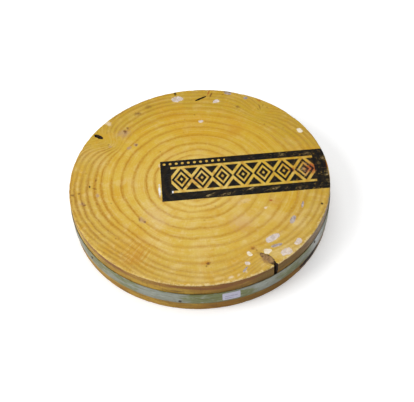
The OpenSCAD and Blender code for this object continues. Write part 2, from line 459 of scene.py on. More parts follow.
class Look(Nodes):
    """A material. Its patterns lie on the block's own x, y and z, in metres."""

    def __init__(self, name):
        self.material = bpy.data.materials.new(name)
        self.material.use_nodes = True
        super().__init__(self.material.node_tree)
        self.shader = self.tree.nodes["Principled BSDF"]
        self.place = self.add("ShaderNodeTexCoord").outputs["Object"]

    def scaled(self, x, y, z):
        return self.vector("MULTIPLY", self.place, (x, y, z))

    def apart(self, vector):
        parts = self.add("ShaderNodeSeparateXYZ", Vector=vector).outputs
        return [Value(self, part) for part in parts]

    def joined(self, x, y, z):
        return self.add("ShaderNodeCombineXYZ", X=x, Y=y, Z=z)

    def turned(self, angle):
        return self.add("ShaderNodeMapping", Vector=self.place, Rotation=(0, 0, angle))

    def texture(self, kind, scale, at, **inputs):
        """A texture whose scale is one number, or one for each axis."""
        at = self.place if at is None else at
        if isinstance(scale, tuple):
            at = self.vector("MULTIPLY", at, scale)
            scale = 1.0
        return self.add(kind, Vector=at, Scale=scale, **inputs)

    def cloud(self, scale, detail=3.0, rough=0.5, warp=0.0, at=None):
        node = self.texture(
            "ShaderNodeTexNoise", scale, at, Detail=detail, Roughness=rough, Distortion=warp
        )
        return Value(self, node.outputs["Fac"])

    def cells(self, scale):
        return Value(self, self.texture("ShaderNodeTexVoronoi", scale, None).outputs["Distance"])

    def mix(self, share, first, second):
        node = self.add("ShaderNodeMix", {"data_type": "RGBA"})
        for socket, value in ((0, share), (6, first), (7, second)):
            self.feed(node.inputs[socket], paint(*value) if isinstance(value, tuple) else value)
        return node.outputs[2]

    def tinted(self, colour, *layers):
        """Lays shades over a colour: pattern, its span, the share at its end, shade."""
        for pattern, low, high, share, shade in layers:
            colour = self.mix(pattern.span(low, high, share), colour, shade)
        return colour

    def wear(self, colour, rough, *relief, metal=0.0, gloss=0.5):
        """Sends the patterns to the shader. Relief: pattern, height in metres, strength."""
        for name, value in (
            ("Base Color", colour), ("Roughness", rough), ("Metallic", metal),
            ("Specular IOR Level", gloss),
        ):
            self.feed(self.shader.inputs[name], value)
        normal = None
        for pattern, height, strength in relief:
            bump = self.add("ShaderNodeBump", Height=pattern, Distance=height, Strength=strength)
            if normal is not None:
                self.feed(bump.inputs["Normal"], normal)
            normal = bump
        if normal is not None:
            self.feed(self.shader.inputs["Normal"], normal)
        return self.material

    def spot(self, x, y, length, width, turn, blur, fray):
        """A soft-edged oval mark on the wood, in mm, with its edge broken by a pattern."""
        offs = []
        for size, way in ((length, turn), (width, turn + 90)):
            way = math.radians(way)
            step = np.array([math.cos(way), math.sin(way), 0]) * 2 / size
            off = self.vector("DOT_PRODUCT", self.place, tuple(step / MM))
            offs.append(off - float(step @ (x, y, 0)))
        far = self.vector("LENGTH", self.joined(*offs, 0.0)) + fray
        return far.span(1.0, 1.0 - blur)

    def spots(self, places, fray=0.0):
        """The strongest of several marks at each point."""
        most = 0.0
        for *place, strength in places:
            most = self.most(self.spot(*place, fray) * strength, most)
        return most


# Colours of the top. The front ones are lighter than the back ones: painted light on the near
# side.
LIT_FRONT_WOOD = (212, 181, 78)
SHADED_BACK_WOOD = (206, 171, 52)
HEART_WOOD = (227, 200, 112)
LIT_FRONT_RIM = (204, 173, 78)
SHADED_BACK_RIM = (191, 159, 46)
RING_LINE = (174, 120, 24)
RING_LINE_RIM = (158, 116, 46)
HONEY = (204, 154, 30)
CREAM = (226, 202, 134)
INK = (8, 8, 10)
PUTTY_HAZE = (222, 198, 150)
# Folds in which the ring lines fade: x, y, length, width, turn, blur, strength
FOLDS = [
    (-137, 94, 92, 50, 147, 0.85, 0.92), (102, 136, 84, 42, 53, 0.9, 0.8),
    (-166, 86, 50, 30, 120, 0.9, 0.75), (96, -160, 60, 70, 300, 0.7, 0.45),
]
# The patch at the front left that blows have raised across the grain
STRUCK = [(-96, -143, 78, 76, 232, 0.9, 0.8)]


def ring_pattern(look, waver=0.9):
    """How dark the ring lines are at each point, and the bent radius there in mm."""
    grain = look.add("ShaderNodeAttribute", {"attribute_name": "growth"}).outputs["Vector"]
    age, spacing, radius = look.apart(grain)
    wander = (look.cloud(42, 3.0, 0.55) - 0.5) * (5.5 * waver)
    ripple = (look.cloud(190, 2.0) - 0.5) * (1.6 * waver)
    age = age + (wander + ripple) / spacing
    part = look.math("FRACT", age)
    after = (part * spacing).span(4.4, 0.0)
    before = ((1.0 - part) * spacing).span(4.6, 0.0)
    late = look.most(part.span(0.55, 1.0, 0.3), part.span(0.3, 0.0, 0.25))
    number = look.joined(0, 0, look.math("FLOOR", age))
    along = look.vector("ADD", look.scaled(1, 1, 0), number)
    strength = look.cloud(16, at=along).span(0.34, 0.62, 1.0, 0.4)
    speckle = look.cloud(330, 2.0).span(0.3, 0.6, 1.0, 0.6)
    return look.most(after, before, late) * strength * speckle, radius


def ray_pattern(look, count=150):
    """Fine streaks that run out from the pith, as the rays in the wood do."""
    pith = (PITH[0] * MM, PITH[1] * MM, 0)
    from_pith = look.vector("SUBTRACT", look.scaled(1, 1, 0), pith)
    reach = look.vector("LENGTH", from_pith)
    way = look.vector("MULTIPLY", look.vector("NORMALIZE", from_pith), (count, count, 0))
    wide = look.vector("ADD", way, look.joined(0, 0, reach * 30))
    return look.cloud(1.0, 3.0, 0.6, at=wide)


def wood_colour(look):
    """The colour of the clear-coated end grain, before any mark or print."""
    tone, radius = ring_pattern(look)
    x, y = look.apart(look.place)[:2]
    # Painted light: the top is lighter and paler at the front than at the back, and the pale heart
    # and cream patches fade towards the back with it.
    back = (y + x * 0.3).span(-0.12, 0.12)
    colour = look.mix(back, LIT_FRONT_WOOD, SHADED_BACK_WOOD)
    colour = look.mix(radius.span(115, 15) * (1.0 - back * 0.5), colour, HEART_WOOD)
    colour = look.mix(radius.span(128, 172), colour, look.mix(back, LIT_FRONT_RIM, SHADED_BACK_RIM))
    cross = look.vector("ADD", look.place, (0.7, 0.3, 0.0))
    for scale, low, high, share, shade in (
        (13, 0.5, 0.7, 0.5, HONEY), (34, 0.5, 0.72, 0.45, HONEY), (110, 0.48, 0.7, 0.4, HONEY),
        (21, 0.52, 0.72, 0.45, CREAM), (62, 0.52, 0.7, 0.5, CREAM), (240, 0.5, 0.76, 0.4, CREAM),
    ):
        patch = look.cloud(scale, 3.0, 0.55, at=look.place if shade == HONEY else cross)
        patch = patch.span(low, high, share)
        if shade == CREAM:
            patch = patch * (1.0 - back * 0.6)
        colour = look.mix(patch, colour, shade)
    angle = look.math("ARCTAN2", y - PITH[1] * MM, x - PITH[0] * MM)
    sweep = look.joined(
        radius * 0.55, look.math("SINE", angle), look.math("COSINE", angle)
    )
    sweep = look.cloud(1.6, 3.0, 0.6, at=sweep)
    pale = look.mix(radius.span(120, 165), CREAM, (214, 182, 132))
    colour = look.tinted(
        colour, (sweep, 0.5, 0.72, 0.4, pale), (sweep, 0.48, 0.3, 0.4, HONEY)
    )
    line = look.mix(radius.span(140, 185), RING_LINE, RING_LINE_RIM)
    outer = radius.span(120, 160) * abs(y + 0.01).span(0.07, 0.15)
    strength = x.span(-0.12, 0.06, 0.7, 1.0) * (1.0 - outer * 0.25)
    colour = look.mix(tone * (strength * (1.0 - look.spots(FOLDS))), colour, line)
    rays = ray_pattern(look)
    colour = look.tinted(colour, (rays, 0.4, 0.7, 0.25, (186, 138, 44)))
    struck = look.spots(STRUCK)
    for count, low, high, share, shade in (
        (55, 0.47, 0.58, 1.0, (186, 134, 42)), (80, 0.46, 0.36, 0.6, CREAM),
    ):
        comb = ray_pattern(look, count).span(low, high, share)
        colour = look.mix(struck * comb, colour, shade)
    fibre = look.cloud(900, 2.0, 0.6)
    colour = look.tinted(colour, (fibre, 0.35, 0.7, 0.2, (170, 130, 50)))
    return colour, tone, rays, fibre


# How far out, in metres, the edge of the top starts to pale and is fully pale
ARRIS = ((BLOCK_R - 2.8) * MM, (BLOCK_R - 0.8) * MM)
# Marks of one colour each, the faintest first: x, y, length, width, turn, blur, strength
AMBER = (186, 128, 38)
GREY = (176, 144, 112)
PALE = (232, 214, 184)
RUST = (168, 84, 30)
BROWN = (110, 70, 36)
DARK = (52, 36, 24)
WHITE = (232, 236, 240)
TORN = (158, 120, 70)
MARKS = [
    (AMBER, [
        (60, -98, 60, 40, 300, 0.95, 0.4), (112, -56, 34, 22, 20, 0.9, 0.4),
        (60, 96, 60, 34, 40, 0.95, 0.35), (-98, -144, 56, 34, 232, 0.95, 0.45),
        (2, -161, 20, 11, 20, 0.9, 0.8),
    ]),
    (GREY, [
        (-117, 107, 34, 27, 20, 0.95, 0.7), (-97.5, 79.4, 10, 11, 0, 0.7, 0.85),
        (-108.3, 73, 10, 9, 0, 0.7, 0.85), (-88, -77, 17, 13, 120, 0.8, 0.65),
        (-178, -38, 15, 10, 20, 0.8, 0.5), (-155.6, -22.5, 8, 11, 0, 0.7, 0.85),
        (-138, 78, 7, 6, 0, 0.7, 0.7),
    ]),
    (PALE, [
        (-144, 132, 24, 11, 132, 0.9, 0.6), (-66, -70, 80, 54, 120, 1.0, 0.22),
        (35, -189, 16, 7, 20, 1.0, 0.6), (46, -186, 8, 5, 50, 1.0, 0.5),
        (57, -180, 5, 10, 20, 1.0, 0.5), (59, -92, 60, 40, 20, 1.0, 0.16),
        (95.6, -67.8, 8, 6, 30, 0.7, 0.8), (66, -52, 34, 12, 25, 1.0, 0.3),
        (-61, 30, 2.5, 12, 2, 0.7, 0.7), (40, 168, 9, 5, 60, 0.8, 0.6),
    ]),
    (RUST, [
        (173, 6, 34, 32, 0, 0.7, 0.95), (143, 4, 13, 12, 0, 0.6, 0.9),
        (195, 10, 12, 22, 0, 0.6, 0.9), (-4.4, -3.9, 18, 15, 0, 0.9, 0.7),
        (104, -54, 8, 6, 0, 0.7, 0.8), (70, -140, 16, 14, 30, 0.9, 0.4),
        (108, 163, 10, 5, 140, 0.8, 0.6), (24.5, 190, 3, 16, 160, 0.6, 0.8),
    ]),
    (BROWN, [
        (-4.4, -3.9, 5, 4, 0, 0.6, 0.7), (5.3, -162.8, 10, 7, 20, 0.8, 0.85),
        (2, -167, 5, 5, 0, 0.8, 0.7), (70.5, -141.6, 9, 7, 30, 0.9, 0.6),
        (75, -145, 4, 5, 30, 0.9, 0.5), (-115, 111, 7, 13, 10, 0.8, 0.9),
        (-111, 118, 5, 7, 10, 0.8, 0.7), (-141, 83, 6, 4, 30, 0.8, 0.6),
        (-97, 79, 5, 6, 0, 0.6, 0.7), (28, 184, 4, 20, 160, 0.7, 0.85),
        (-94.7, 150.3, 15, 12, 20, 1.0, 0.8), (-76.7, 165.6, 17, 14, 10, 1.0, 0.5),
        (-92, -75, 4, 8, 20, 0.7, 0.65), (-84, -80, 4, 6, 40, 0.7, 0.65),
        (-178, -37, 9, 4, 100, 0.7, 0.6), (-175, -41, 10, 4, 20, 0.7, 0.6),
        (-160, -9, 10, 4, 160, 0.7, 0.6), (-193.5, -19, 6, 8, 80, 0.7, 0.65),
        (-184, -17, 6, 5, 80, 0.7, 0.6), (70.6, 151.7, 13, 8, 150, 0.9, 0.55),
        (107, 148, 3.5, 17, 8, 0.8, 0.55), (112.5, 151, 3, 12, 170, 0.8, 0.5),
        (104, 143, 3, 9, 30, 0.8, 0.4), (48, 184, 8, 3, 20, 0.7, 0.5),
    ]),
    (DARK, [
        (143, 3, 7, 6, 0, 0.5, 0.9), (-115.4, 107.6, 3.5, 4, 0, 0.8, 0.7),
        (-168.3, -4.4, 4.4, 5, 0, 0.5, 0.9), (179.7, -67, 4.6, 4.6, 0, 0.5, 0.9),
        (57, 189, 18, 7, 162, 0.7, 0.7), (-31.4, 193, 6, 11, 10, 0.5, 0.85),
    ]),
    (TORN, [
        (85.5, -165, 25, 9, 314, 0.8, 0.85), (77, -151, 9, 8, 314, 0.9, 0.6),
    ]),
    (WHITE, [
        (-61.2, -21, 5, 30, 2, 0.7, 0.9), (-41.5, -24, 5, 20, 2, 0.7, 0.9),
    ]),
]

# The printed frame: middle, turn, size and the widths of its four bars
PRINT_AT = (69.6, 1.0)
PRINT_TURN = 1.6
PRINT_SIZE = (256.4, 82.4)
BAR_LEFT, BAR_RIGHT, BAR_TOP, BAR_BOTTOM = 15.6, 19.5, 13.3, 15.6
# Rubbed places in the ink, with the same values as the marks
RUBS = [
    (80, -27, 26, 10, 20, 1, 1), (40, -36, 34, 8, 12, 1, 0.9), (132, 38, 10, 20, 60, 1, 0.9),
    (196, -6, 16, 22, 0, 1, 1), (196, -22, 14, 12, 10, 1, 1), (162, 8, 44, 40, 40, 0.9, 0.75),
    (186, 16, 10, 8, 0, 1, 0.9), (14, -36, 22, 7, 20, 1, 0.8), (112, -31, 30, 9, 15, 1, 0.8),
    (170, 37, 26, 8, 10, 1, 0.8), (152, -33, 30, 9, 12, 1, 0.7), (193, 26, 12, 14, 0, 1, 0.8),
]
# The row of lozenges inside the frame: how many, and their height
LOZENGES = 7
LOZENGE_H = 45
# The row of small dots in the upper bar
DOTS = 9
DOT_PITCH = 9.5
DOT_R = 2.2
# Shapes inside a lozenge, as shares of its half width: an outer band, a core, corner wedges
BAND = (0.7, 0.98)
CORE = (0.15, 0.47)
WEDGE = 1.34
SOFT = 0.03


def box_mask(look, u, v, left, right, low, high):
    """1 inside an upright rectangle, with an edge that is soft over a part of a mm."""
    inside = u - left
    for gap in (right - u, v - low, high - v):
        inside = look.math("MINIMUM", inside, gap)
    return inside.span(-0.35, 0.35)


def print_mask(look):
    """Where the ink lies: a heavy frame round a row of lozenges."""
    local = look.add(
        "ShaderNodeMapping", {"vector_type": "TEXTURE"}, Vector=look.place,
        Location=(PRINT_AT[0] * MM, PRINT_AT[1] * MM, 0),
        Rotation=(0, 0, math.radians(PRINT_TURN)), Scale=(MM, MM, MM),
    )
    u, v = look.apart(local)[:2]
    u = u + (look.cloud(700, 2.0) - 0.5) * 1.6
    v = v + (look.cloud((650, -650, 650), 2.0) - 0.5) * 1.6
    half_w, half_h = PRINT_SIZE[0] / 2, PRINT_SIZE[1] / 2
    left, right = BAR_LEFT - half_w, half_w - BAR_RIGHT
    low, high = BAR_BOTTOM - half_h, half_h - BAR_TOP
    outer = box_mask(look, u, v, -half_w, half_w, -half_h, half_h)
    window = box_mask(look, u, v, left, right, low, high)
    half = (right - left) / LOZENGES / 2
    along = u - left
    rise = abs(v - (low + high) / 2) / (LOZENGE_H / 2)
    ring = look.math("PINGPONG", along + half, half) / half + rise
    edge, core = (
        ring.span(start - SOFT, start + SOFT) * ring.span(end + SOFT, end - SOFT)
        for start, end in (BAND, CORE)
    )
    wedge = ring.span(WEDGE - SOFT, WEDGE + SOFT) * rise.span(1 + SOFT, 1 - SOFT)
    bare = window * (1.0 - look.most(edge, core, wedge))
    ink = look.math("SUBTRACT", outer, bare, clamp=True)
    dot = look.math("PINGPONG", along, DOT_PITCH / 2)
    dot = look.vector("LENGTH", look.joined(dot, v - (half_h - BAR_TOP / 2), 0.0))
    dot = dot.span(DOT_R + 0.4, DOT_R - 0.4)
    dot = dot * look.math("LESS_THAN", along, DOTS * DOT_PITCH)
    return look.math("SUBTRACT", ink, dot, clamp=True)


def inked(look, colour, tone, fray):
    """Lays the worn print over the wood: scratched, rubbed, and thinner towards the rim."""
    x = look.apart(look.place)[0]
    ink = print_mask(look)
    scratch = look.cloud((124, 620, 620), 4.0, 0.75, at=look.turned(-0.4))
    worn_at = 0.73 - x.span(0.0, 0.19, 0.11, 0.03)
    wear = look.most(scratch, look.cloud(260, 4.0, 0.7))
    wear = wear.span(worn_at, worn_at + 0.06)
    crumbs = look.most(look.cloud(520, 4.0, 0.75), scratch).span(0.52, 0.62)
    rubbed = look.spots(RUBS, fray) * crumbs
    colour = look.mix(rubbed * 0.45, colour, (206, 200, 190))
    ink = ink * (1.0 - look.most(wear, rubbed) * 0.85)
    dull = look.mix(scratch.span(0.54, 0.68, 0.6), INK, (58, 58, 62))
    return look.mix(ink * (0.995 - tone * 0.03), colour, dull), ink


def printed_top():
    look = Look("printed_end_grain")
    colour, tone, rays, fibre = wood_colour(look)
    x, y = look.apart(look.place)[:2]
    fray = (look.cloud(260, 4.0, 0.6) - 0.5) * 1.6
    for shade, places in MARKS:
        mark = look.spots(places, fray)
        colour = look.mix(mark, colour, shade)
        if shade == DARK:
            dents = mark
    sparse = look.cloud(21, 2.0).span(0.5, 0.62)
    specks = look.cells((62, 62, 12.4)).span(0.14, 0.06) * sparse
    colour = look.mix(specks * 0.5, colour, BROWN)
    flecks = look.cells((105, 47.25, 21)).span(0.22, 0.1) * (tone * x.span(-0.09, -0.15))
    colour = look.mix(flecks * 0.6, colour, BROWN)
    smears = []
    for angle, inset, side, turn, length, width in FILLERS:
        (near, off), = at_rim([(0, 0)], angle, inset, side, 0)
        smears.append((near, off, length * 1.5, width * 1.7, angle + turn, 0.8, 0.4))
    colour = look.mix(look.spots(smears, fray), colour, PUTTY_HAZE)
    colour, ink = inked(look, colour, tone, fray)
    # Painted highlight: a pale line along the near edge of the top, broken up into worn chips.
    chips = (look.cloud(160, 4.0, 0.7) - 0.5) * 0.016
    arris = look.vector("LENGTH", look.scaled(1, 1, 0)) + chips
    arris = arris.span(*ARRIS, 0.5) * y.span(-0.02, -0.12)
    pale = look.mix(x.span(-0.13, 0.0), (226, 196, 104), (240, 222, 168))
    colour = look.mix(arris, colour, pale)
    pores = look.cells((1500, 1500, 450)).span(0.0, 0.35)
    return look.wear(
        colour, fibre * 0.2 + ink * 0.1 + 0.32, (pores, 0.00008, 0.35), (tone, 0.0003, 0.5),
        (rays, 0.0002, 0.3), (1.0 - dents, 0.0012, 0.7), gloss=0.1,
    )


# Crust of old bark left low on the side: angle, height, half length and half height
CRUST_AT, CRUST_UP, CRUST_L, CRUST_H = 321, 9, 24, 4.6


def side_grain():
    look = Look("turned_side")
    tone = ring_pattern(look, 1.4)[0]
    x, y, z = look.apart(look.place)
    band = look.cloud((24, 24, 210), 4.0, 0.65, 0.6)
    fine = look.cloud((40, 40, 1100), 3.0, 0.6)
    broad = look.cloud((20, 20, 40), 3.0, 0.55)
    pore = look.cloud((420, 420, 60), 3.0, 0.6)
    reddish = look.cloud((9, 9, 30), 2.0)
    spots = look.cloud((90, 90, 60), 3.0, 0.6)
    colour = look.mix(broad.span(0.35, 0.65), (212, 172, 64), (190, 150, 50))
    colour = look.tinted(
        colour, (x + y * 0.2, -0.12, 0.05, 1.0, (136, 104, 38)),
        (reddish, 0.48, 0.62, 0.5, (168, 112, 34)), (tone, 0.0, 1.0, 0.25, (118, 76, 28)),
        (band, 0.5, 0.64, 0.75, (112, 82, 32)),
    )
    stain = (z + (reddish - 0.5) * 0.03).span(0.050, 0.055) * y.span(0.0, -0.14)
    colour = look.mix(stain * band.span(0.3, 0.6, 0.9, 0.35), colour, (140, 88, 40))
    # Painted shade and dirt: thin darker lines on the wood along both edges of the hoop.
    near = look.math("MINIMUM", abs(z - HOOP_LOW * MM), abs(z - HOOP_HIGH * MM))
    near = near + (broad - 0.5) * 0.006
    colour = look.tinted(
        colour, (band, 0.44, 0.32, 0.4, (214, 180, 76)), (fine, 0.5, 0.7, 0.4, (104, 76, 30)),
        (pore, 0.5, 0.72, 0.3, (92, 64, 32)), (z, 0.020, 0.008, 0.35, (160, 108, 34)),
        (near, 0.0016, 0.0, 0.12, (84, 62, 34)),
    )
    # Painted reflection: round the right of the side, from about 315 degrees and fading out past 0
    # degrees, the wood turns greyer and lighter.
    painted_sheen = look.math("ARCTAN2", y + fine * 0.05, x)
    painted_sheen = painted_sheen.span(-0.8, -0.4, 0.65) * painted_sheen.span(0.3, -0.2)
    grey = look.mix(fine.span(0.35, 0.65), (206, 192, 176), (112, 92, 72))
    colour = look.tinted(
        look.mix(painted_sheen, colour, grey),
        # Painted highlight with edge wear: a pale line round the top edge of the side.
        (z + (pore - 0.5) * 0.004, 0.0582, 0.0596, 0.9, (236, 212, 156)),
        (spots, 0.66, 0.74, 0.7, (70, 44, 22)),
    )
    angle = look.math("ARCTAN2", y, x)
    crust = look.joined(
        abs(angle - math.radians(CRUST_AT - 360)) * (BLOCK_R / CRUST_L),
        abs(z - CRUST_UP * MM) * (1 / (CRUST_H * MM)), 0.0,
    )
    crust = (look.vector("LENGTH", crust) + (spots - 0.5) * 1.2).span(1.1, 0.9)
    dark = look.mix(pore.span(0.4, 0.6), (14, 10, 9), (48, 32, 22))
    colour = look.mix(crust, colour, dark)
    return look.wear(
        colour, fine * 0.25 + 0.42, (band, 0.0004, 0.4), (fine, 0.0002, 0.4),
        (crust, 0.0008, 0.8), gloss=0.25,
    )


def sawn_underside():
    look = Look("sawn_underside")
    tone = ring_pattern(look)[0]
    rays = ray_pattern(look)
    saw = look.cloud((8, 620, 8), 3.0, 0.6)
    colour = look.mix(look.cloud(11, 4.0).span(0.35, 0.65), (204, 168, 100), (184, 144, 80))
    colour = look.mix(tone * 0.75, colour, (150, 104, 48))
    colour = look.tinted(
        colour, (rays, 0.4, 0.7, 0.35, (160, 122, 66)), (saw, 0.45, 0.7, 0.35, (140, 108, 62))
    )
    return look.wear(colour, saw * 0.2 + 0.6, (saw, 0.0005, 0.6), (tone, 0.0004, 0.5))


def crack_lining():
    look = Look("crack_lining")
    grain = look.cloud((500, 500, 60), 4.0, 0.6)
    # Painted shade: the walls of the cracks and slits are coloured near-black, as the shade deep
    # inside them.
    colour = look.mix(grain.span(0.3, 0.7), (26, 17, 11), (78, 52, 31))
    return look.wear(colour, grain * 0.2 + 0.7, (grain, 0.001, 0.8))


for material in (printed_top(), side_grain(), sawn_underside(), crack_lining()):
    block.data.materials.append(material)
TOP, SIDE, UNDER, CRACK = range(4)
for face in block.data.polygons:
    middle = face.center / MM
    from_axis = math.hypot(middle.x, middle.y)
    level = face.normal.z
    outwards = (face.normal.x * middle.x + face.normal.y * middle.y) / max(from_axis, 1)
    if level > 0.5 and middle.z > BLOCK_H - EDGE_R:
        face.material_index = TOP
    elif level < -0.5 and middle.z < EDGE_R:
        face.material_index = UNDER
    elif outwards > 0.6 and from_axis > BLOCK_R - 2:
        face.material_index = SIDE
    else:
        face.material_index = CRACK
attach(block, "root")
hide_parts("wood_block")

# Bark pocket
# A tongue of bark that the trunk grew round, at the inner end of the rim split. It is dry
# and ridged, and lies a little below the planed face.


def capped(outline, high, low, relief, rings=6):
    """A plug with a given outline: a flat foot, upright walls and an uneven top."""
    outline = np.array(outline)
    middle = outline.mean(axis=0)
    levels = [[(x, y, low) for x, y in outline]]
    for ring in range(rings):
        share = 1 - ring / rings
        loop = middle + (outline - middle) * share
        levels.append([(x, y, high + relief(x, y, share)) for x, y in loop])
    levels.append([(*middle, high + relief(*middle, 0))])
    return stacked(levels)


def made(name, parts, material, sharp):
    piece = linked(name, joined_mesh(name, parts))
    piece.data.materials.append(material)
    smoothed(piece, sharp)
    return piece


def bark_relief(x, y, share):
    ridge = noise.fractal(Vector((x / 2.2, y / 2.2, 5.0)), 0.8, 2.0, 4)
    return min(0.9 * ridge + 0.5 - 0.3 * (1 - share), BLOCK_H - BARK_HIGH - 0.05)


def bark_finish():
    look = Look("dry_bark")
    streak = look.cloud((182, 520, 520), 4.0, 0.6, at=look.turned(math.radians(46)))
    grain = look.cloud(300, 5.0, 0.65)
    colour = look.tinted(
        look.mix(grain.span(0.36, 0.62), (140, 106, 64), (166, 130, 82)),
        (streak, 0.48, 0.64, 0.6, (98, 68, 42)), (grain, 0.6, 0.7, 0.6, (190, 154, 100)),
    )
    return look.wear(colour, grain * 0.15 + 0.75, (grain, 0.0015, 0.9))


outward = np.array([math.cos(math.radians(SPLIT_AT)), math.sin(math.radians(SPLIT_AT))])
bark_edge = bark_outline(0.04)
past = bark_edge @ outward - (BLOCK_R - SPLIT_REACH)
bark_edge = bark_edge - np.maximum(past, 0)[:, None] * outward
bark_shape = capped(bark_edge, BARK_HIGH, BARK_LOW, bark_relief, 9)
bark = made("ingrown_bark", [bark_shape], bark_finish(), 180)
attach(bark, "root")
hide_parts("bark_pocket")

# Filler patches
# Flaws in the top face are cut out and filled with pale putty, which is wiped level while
# soft. It shrinks a little as it hardens, and takes in dust and wood colour.


def filler_relief(x, y, share):
    dip = 0.12 * noise.fractal(Vector((x / 3, y / 3, 2.0)), 0.9, 2.0, 3) - 0.1 * share
    return min(0, dip)


def putty_finish(name, light, dark, dirt):
    look = Look(name)
    cloud = look.cloud(160, 4.0, 0.6)
    grit = look.cloud(900, 3.0, 0.6)
    rub = look.cloud(130, 4.0, 0.65, at=look.vector("ADD", look.place, (0.4, 0.9, 0.2)))
    colour = look.tinted(
        look.mix(cloud.span(0.38, 0.62), light, dark),
        (rub, 0.54, 0.68, 0.6, dirt), (grit, 0.5, 0.72, 0.4, (150, 124, 100)),
    )
    return look.wear(colour, grit * 0.25 + 0.45, (grit, 0.0003, 0.6))


PUTTY = [
    putty_finish("cream_putty", (240, 231, 210), (228, 212, 182), (212, 186, 128)),
    putty_finish("pink_putty", (217, 203, 193), (190, 174, 162), (196, 168, 118)),
    putty_finish("grey_putty", (184, 171, 166), (140, 124, 120), (176, 142, 88)),
    putty_finish("white_putty", (228, 215, 204), (203, 186, 172), (206, 174, 120)),
]
# Which of them each patch is filled with
PUTTY_OF = [1, 3, 2, 2, 3, 0, 2, 2, 1, 2, 0, 3, 0, 3, 2, 3]
for number in range(len(FILLERS)):
    shape = capped(filler_outline(number), BLOCK_H, FILLER_LOW, filler_relief)
    patch = made(f"putty_patch_{number + 1}", [shape], PUTTY[PUTTY_OF[number]], 40)
    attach(patch, "root")
    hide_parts(f"filler_{number + 1}")

# Steel hoop
# A strip of galvanised steel, wound once round the side, bent up over its own inner end and
# riveted there. Its dull grey-green is painted in, standing for green surroundings mirrored
# in the steel, and it is streaked from wear.
HOOP_T = 1.0
HOOP_FIT = 0.05
HOOP_R = BLOCK_R + HOOP_FIT + HOOP_T / 2
HOOP_CORNER = 0.35
HOOP_WAVER = 0.12
HOOP_STEPS = 900
LAP_AT = 62
LAP_ARC = 11.46
BEND_ARC = 2.29
END_GAP_ARC = 0.57
LAP_RISE = 1.1
# Where a bright reflection is painted on the strip
PAINTED_GLINT_AT = 327


class Weave(Nodes):
    """A geometry-nodes tree with named inputs."""

    def __init__(self, name):
        super().__init__(bpy.data.node_groups.new(name, "GeometryNodeTree"))
        for way in ("INPUT", "OUTPUT"):
            self.tree.interface.new_socket(
                "Geometry", in_out=way, socket_type="NodeSocketGeometry"
            )
        self.values = {}
        self.start = self.tree.nodes.new("NodeGroupInput")

    def given(self, name, value, kind="NodeSocketFloat"):
        """A named input with the value that the modifier gives it."""
        socket = self.tree.interface.new_socket(name, in_out="INPUT", socket_type=kind)
        self.values[socket.identifier] = value
        return Value(self, self.start.outputs[name])

    def baked(self, geometry, base, material):
        """Ends the tree, runs it on a base mesh and returns the finished piece."""
        whole = self.add("GeometryNodeRealizeInstances", Geometry=geometry)
        clad = self.add("GeometryNodeSetMaterial", Geometry=whole, Material=material)
        end = self.tree.nodes.new("NodeGroupOutput")
        self.feed(end.inputs[0], clad)
        piece = linked(self.tree.name, base)
        modifier = piece.modifiers.new(self.tree.name, "NODES")
        modifier.node_group = self.tree
        for identifier, value in self.values.items():
            modifier[identifier] = value
        return applied(piece)


def wound_strip(material):
    weave = Weave("wound_hoop")
    radius, height, width, thickness, rise, wave = (
        weave.given(name, size * MM) for name, size in (
            ("Radius", HOOP_R), ("Height", HOOP_MID), ("Width", HOOP_HIGH - HOOP_LOW),
            ("Thickness", HOOP_T), ("Lap rise", LAP_RISE), ("Waviness", HOOP_WAVER),
        )
    )
    first, turn, bend, bend_arc = (
        weave.given(name, math.radians(angle)) for name, angle in (
            ("Inner end angle", LAP_AT + END_GAP_ARC), ("Turn", 360 - END_GAP_ARC + LAP_ARC),
            ("Bend end angle", 360 + LAP_AT), ("Bend arc", BEND_ARC),
        )
    )
    seed = weave.given("Seed", 4.0)
    line = weave.add("GeometryNodeCurvePrimitiveLine", End=(1, 0, 0))
    path = weave.add("GeometryNodeResampleCurve", Curve=line, Count=HOOP_STEPS)
    along = Value(weave, weave.add("GeometryNodeSplineParameter").outputs["Factor"])
    angle = along * turn + first
    ripple = weave.add(
        "ShaderNodeTexNoise", {"noise_dimensions": "1D"}, W=angle + seed, Scale=5.0, Detail=2.0
    )
    reach = radius + wave * ripple + angle.span(bend - bend_arc, bend, rise)
    place = weave.add(
        "ShaderNodeCombineXYZ", X=reach * weave.math("COSINE", angle),
        Y=reach * weave.math("SINE", angle), Z=height,
    )
    ring = weave.add(
        "GeometryNodeSetPosition", Geometry=path, Position=place
    )
    upright = weave.add("GeometryNodeSetCurveNormal", {"mode": "Z_UP"}, Curve=ring)
    outline = weave.add(
        "GeometryNodeCurvePrimitiveQuadrilateral", Width=thickness, Height=width
    )
    corners = weave.add(
        "GeometryNodeFilletCurve", {"mode": "POLY"}, Curve=outline, Count=3,
        Radius=HOOP_CORNER * MM,
    )
    strip = weave.add(
        "GeometryNodeCurveToMesh", Curve=upright, Profile_Curve=corners,
        Fill_Caps=True,
    )
    return weave.baked(strip, bpy.data.meshes.new("hoop"), material)


